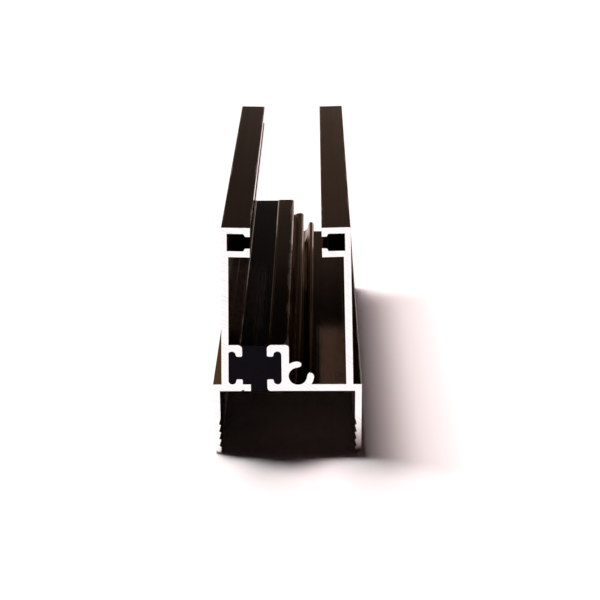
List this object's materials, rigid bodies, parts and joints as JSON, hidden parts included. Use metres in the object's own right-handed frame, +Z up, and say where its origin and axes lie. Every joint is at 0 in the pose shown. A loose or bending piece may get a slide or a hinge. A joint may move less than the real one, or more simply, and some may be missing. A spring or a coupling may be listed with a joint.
{
  "type": "window frame profile section",
  "caption": "Sawn length of a thermally broken aluminium window frame profile, with glazing channel, gasket slots, screw port, polymer core and toothed legs",
  "frame": {"origin": "middle of the piece's length and width, on the surface that the two legs stand on", "axes": "+Z up, from the legs to the glazing channel; +Y along the profile; +X from the tongue side to the screw port side"},
  "size_m": [0.04, 0.125, 0.0653],
  "materials": {
    "bronze_coat": "dark bronze coating on the drawn faces, bare saw-cut ends",
    "core_polymer": "cast, satin top, saw-cut ends"
  },
  "bodies": {
    "root": {"outer_shell": "bronze_coat", "inner_shell": "bronze_coat", "thermal_break": "core_polymer"}
  },
  "joints": []
}
